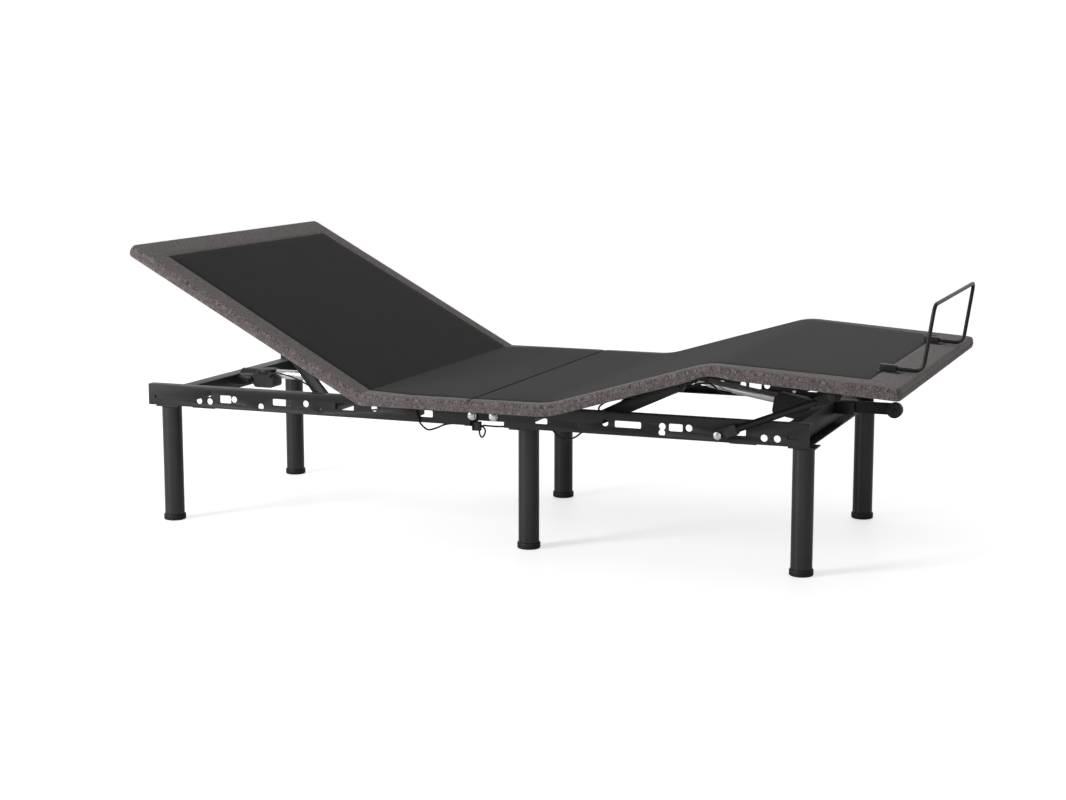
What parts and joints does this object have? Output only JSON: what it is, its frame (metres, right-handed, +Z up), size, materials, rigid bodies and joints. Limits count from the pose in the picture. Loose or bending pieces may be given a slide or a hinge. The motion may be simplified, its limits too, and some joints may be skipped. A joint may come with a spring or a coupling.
{
  "type": "adjustable_bed_base",
  "caption": "Adjustable bed base: jointed upholstered deck with raised back and knees on a black steel frame with round legs, lift arms, actuators and a mattress retainer",
  "frame": {"origin": "centre of the bounding box in X and Y, on the floor in Z, with back and knees raised as drawn", "axes": "+X runs along the bed to the foot end, +Y across it to the far side, +Z up"},
  "size_m": [2.01, 0.984, 0.7261],
  "materials": {
    "black_steel": "satin black powder coat",
    "tweed_cover": "grey-brown melange tweed with a matte charcoal non-woven top",
    "black_rubber": "matte black",
    "black_plastic": "matte black moulded plastic",
    "lead_jacket": "flexible black jacket",
    "zinc": "bright zinc plate",
    "aluminium": "satin anodised extrusion"
  },
  "bodies": {
    "head_frame": {"head_rail_near": "black_steel", "head_rail_far": "black_steel", "head_end_beam": "black_steel", "head_middle_beam": "black_steel", "leg_head_near": "black_steel", "leg_head_far": "black_steel", "leg_middle_far": "black_steel", "leg_cap_head_near": "black_rubber", "leg_cap_head_far": "black_rubber", "leg_cap_middle_far": "black_rubber", "seat_panel_head": "tweed_cover", "fold_bolt_head_near": "zinc", "fold_bolt_head_far": "zinc", "back_actuator_motor": "black_plastic", "back_actuator_tube": "aluminium", "control_box": "black_plastic", "motor_lead": "lead_jacket", "head_lead": "lead_jacket", "lead_coupler": "black_plastic"},
    "fold_links": {"fold_link_near": "black_steel", "fold_link_far": "black_steel"},
    "foot_frame": {"foot_rail_near": "black_steel", "foot_rail_far": "black_steel", "foot_end_beam": "black_steel", "foot_middle_beam": "black_steel", "leg_middle_near": "black_steel", "leg_foot_near": "black_steel", "leg_foot_far": "black_steel", "leg_cap_middle_near": "black_rubber", "leg_cap_foot_near": "black_rubber", "leg_cap_foot_far": "black_rubber", "seat_panel_foot": "tweed_cover", "fold_bolt_foot_near": "zinc", "fold_bolt_foot_far": "zinc", "support_arm": "black_steel", "link_bolt_near": "zinc", "link_bolt_far": "zinc", "leg_actuator_bracket": "black_steel", "foot_lead": "lead_jacket"},
    "support_roller": {"support_roller": "black_plastic"},
    "back": {"back_panel": "tweed_cover"},
    "back_arms": {"back_lift_frame": "black_steel"},
    "back_roller_near": {"back_roller_near": "black_plastic"},
    "back_roller_far": {"back_roller_far": "black_plastic"},
    "back_rod": {"back_actuator_rod": "aluminium"},
    "thigh": {"thigh_panel": "tweed_cover"},
    "foot": {"foot_panel": "tweed_cover", "retainer_bar": "black_steel", "retainer_bracket_near": "black_steel", "retainer_bracket_far": "black_steel", "link_bracket_near": "black_steel", "link_bracket_far": "black_steel"},
    "foot_links": {"foot_link_near": "black_steel", "foot_link_far": "black_steel"},
    "leg_arms": {"leg_lift_frame": "black_steel"},
    "leg_roller_near": {"leg_roller_near": "black_plastic"},
    "leg_roller_far": {"leg_roller_far": "black_plastic"},
    "leg_motor": {"leg_actuator_motor": "black_plastic", "leg_actuator_tube": "aluminium"},
    "leg_rod": {"leg_actuator_rod": "aluminium"}
  },
  "joints": [
    {"name": "back_lift", "type": "hinge", "parent": "head_frame", "child": "back", "pos_m": [-0.32804, 0, 0.3891], "axis": [0, 1, 0], "range_deg": [-28.5, 30]},
    {"name": "back_arm", "type": "hinge", "parent": "head_frame", "child": "back_arms", "pos_m": [-0.50504, 0, 0.3161], "axis": [0, 1, 0], "range_deg": [-43.3, 45.6]},
    {"name": "back_roller_near", "type": "hinge", "parent": "back_arms", "child": "back_roller_near", "pos_m": [-0.65927, -0.315, 0.49999], "axis": [0, 1, 0], "continuous": true},
    {"name": "back_roller_far", "type": "hinge", "parent": "back_arms", "child": "back_roller_far", "pos_m": [-0.65927, 0.315, 0.49999], "axis": [0, 1, 0], "continuous": true},
    {"name": "back_rod", "type": "slide", "parent": "head_frame", "child": "back_rod", "axis": [1, 0, 0], "range_m": [-0.0264, 0.0278]},
    {"name": "thigh_lift", "type": "hinge", "parent": "foot_frame", "child": "thigh", "pos_m": [0.14696, 0, 0.3891], "axis": [0, -1, 0], "range_deg": [-16.6, 15.4]},
    {"name": "knee", "type": "hinge", "parent": "thigh", "child": "foot", "pos_m": [0.53267, 0, 0.49991], "axis": [0, -1, 0], "range_deg": [-19.3, 20.8]},
    {"name": "foot_link", "type": "hinge", "parent": "foot_frame", "child": "foot_links", "pos_m": [0.53126, 0, 0.32318], "axis": [0, -1, 0], "range_deg": [-20.5, 19]},
    {"name": "leg_arm", "type": "hinge", "parent": "foot_frame", "child": "leg_arms", "pos_m": [0.18396, 0, 0.3201], "axis": [0, -1, 0], "range_deg": [-17.8, 16.5]},
    {"name": "leg_roller_near", "type": "hinge", "parent": "leg_arms", "child": "leg_roller_near", "pos_m": [0.41688, -0.315, 0.4214], "axis": [0, -1, 0], "continuous": true},
    {"name": "leg_roller_far", "type": "hinge", "parent": "leg_arms", "child": "leg_roller_far", "pos_m": [0.41688, 0.315, 0.4214], "axis": [0, -1, 0], "continuous": true},
    {"name": "leg_motor", "type": "hinge", "parent": "foot_frame", "child": "leg_motor", "pos_m": [0.67296, 0, 0.3401], "axis": [0, -1, 0], "range_deg": [-8.1, 8.7], "deforming": ["foot_lead"]},
    {"name": "leg_rod", "type": "slide", "parent": "leg_motor", "child": "leg_rod", "axis": [-0.9859, 0, 0.1673], "range_m": [-0.0309, 0.0287]},
    {"name": "support_roller", "type": "hinge", "parent": "foot_frame", "child": "support_roller", "pos_m": [0.85696, 0.039, 0.3385], "axis": [0, 1, 0], "continuous": true},
    {"name": "fold_head", "type": "hinge", "parent": "head_frame", "child": "fold_links", "pos_m": [-0.09404, 0, 0.3291], "axis": [0, 1, 0], "range_deg": [0, 40], "deforming": ["foot_lead"]},
    {"name": "fold_foot", "type": "hinge", "parent": "fold_links", "child": "foot_frame", "pos_m": [-0.03804, 0, 0.3291], "axis": [0, 1, 0], "range_deg": [0, 40]}
  ],
  "couplings": [
    {"joint": "back_arm", "follows": "back_lift", "ratio": 1.5164},
    {"joint": "back_rod", "follows": "back_lift", "m_per_rad": 0.0527},
    {"joint": "knee", "follows": "thigh_lift", "ratio": -1.245},
    {"joint": "foot_link", "follows": "thigh_lift", "ratio": 1.225},
    {"joint": "leg_arm", "follows": "thigh_lift", "ratio": 1.0648},
    {"joint": "leg_motor", "follows": "thigh_lift", "ratio": -0.516},
    {"joint": "leg_rod", "follows": "thigh_lift", "m_per_rad": 0.106},
    {"joint": "fold_foot", "follows": "fold_head", "ratio": 1}
  ]
}
